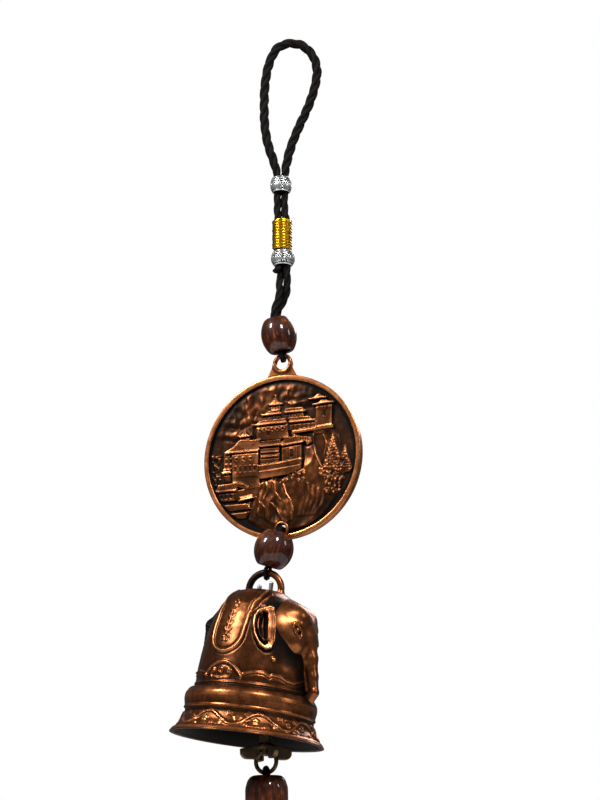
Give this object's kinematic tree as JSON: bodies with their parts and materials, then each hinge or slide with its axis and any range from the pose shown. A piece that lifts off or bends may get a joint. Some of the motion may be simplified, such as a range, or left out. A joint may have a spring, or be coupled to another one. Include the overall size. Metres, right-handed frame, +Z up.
{
  "type": "temple bell",
  "caption": "Hanging bell with an elephant head, a relief medallion, wooden and silver beads and a swinging clapper, strung on cord from a loop.",
  "frame": {"origin": "the inside top of the cord loop, where a hook or a nail carries it", "axes": "+Z up; +X to the right and -Y towards the viewer who faces the medallion and the bell"},
  "size_m": [0.063, 0.0504, 0.2789],
  "materials": {
    "cord": "twisted, slightly silky",
    "silver": "polished with blackened carving",
    "gold_thread": "wound, satin",
    "wood": "polished, glossy",
    "copper": "antiqued, satin, dark in the hollows",
    "steel": "dull wire",
    "bronze": "dark olive patina"
  },
  "bodies": {
    "hanging_cord": {"hanging_cord": "cord", "gold_wrap": "gold_thread", "stop_bead": "silver"},
    "loop_bead": {"loop_bead": "silver"},
    "upper_bead": {"upper_bead": "wood"},
    "medallion": {"medallion": "copper"},
    "link": {"link_cord": "cord", "link_knot": "cord"},
    "lower_bead": {"lower_bead": "wood"},
    "bell": {"bell": "copper", "hanger_staple": "steel"},
    "clapper": {"clapper": "bronze"},
    "clapper_ring": {"clapper_ring": "bronze"},
    "pull": {"tail_cord": "cord", "end_knot": "cord"},
    "barrel_bead": {"barrel_bead": "wood"}
  },
  "joints": [
    {"name": "loop_bead_slide", "type": "slide", "parent": "hanging_cord", "child": "loop_bead", "axis": [0, 0, 1], "range_m": [-0.0055, 0]},
    {"name": "upper_bead_spin", "type": "hinge", "parent": "hanging_cord", "child": "upper_bead", "pos_m": [-0.00365, 0, -0.1027], "axis": [-0.1822, 0, 0.9833], "continuous": true},
    {"name": "medallion_swing", "type": "hinge", "parent": "hanging_cord", "child": "medallion", "pos_m": [-0.0023, 0, -0.10975], "axis": [0.9304, -0.3665, 0], "range_deg": [-60, 60]},
    {"name": "link_swing", "type": "hinge", "parent": "medallion", "child": "link", "pos_m": [-0.0023, 0, -0.1689], "axis": [0.3665, 0.9304, 0], "range_deg": [-30, 22]},
    {"name": "lower_bead_spin", "type": "hinge", "parent": "link", "child": "lower_bead", "pos_m": [-0.00515, -0.0064, -0.1769], "axis": [0.272, -0.1072, 0.9563], "continuous": true},
    {"name": "bell_swing", "type": "hinge", "parent": "link", "child": "bell", "pos_m": [-0.00728, -0.00556, -0.1844], "axis": [0.9243, -0.3641, -0.1149], "range_deg": [-50, 50]},
    {"name": "clapper_swing", "type": "hinge", "parent": "bell", "child": "clapper", "pos_m": [-0.00863, -0.00539, -0.19577], "axis": [0.3665, 0.9304, 0], "range_deg": [-9, 25]},
    {"name": "ring_swing", "type": "hinge", "parent": "clapper", "child": "clapper_ring", "pos_m": [-0.0075, -0.00584, -0.24245], "axis": [0.9301, -0.3664, 0.0262], "range_deg": [-25, 25]},
    {"name": "tail_swing", "type": "hinge", "parent": "clapper_ring", "child": "pull", "pos_m": [-0.00741, -0.00588, -0.24595], "axis": [0.3665, 0.9304, 0], "range_deg": [-40, 40]},
    {"name": "barrel_bead_spin", "type": "hinge", "parent": "pull", "child": "barrel_bead", "pos_m": [-0.00706, -0.00602, -0.2605], "axis": [-0.0244, 0.0096, 0.9997], "continuous": true}
  ]
}
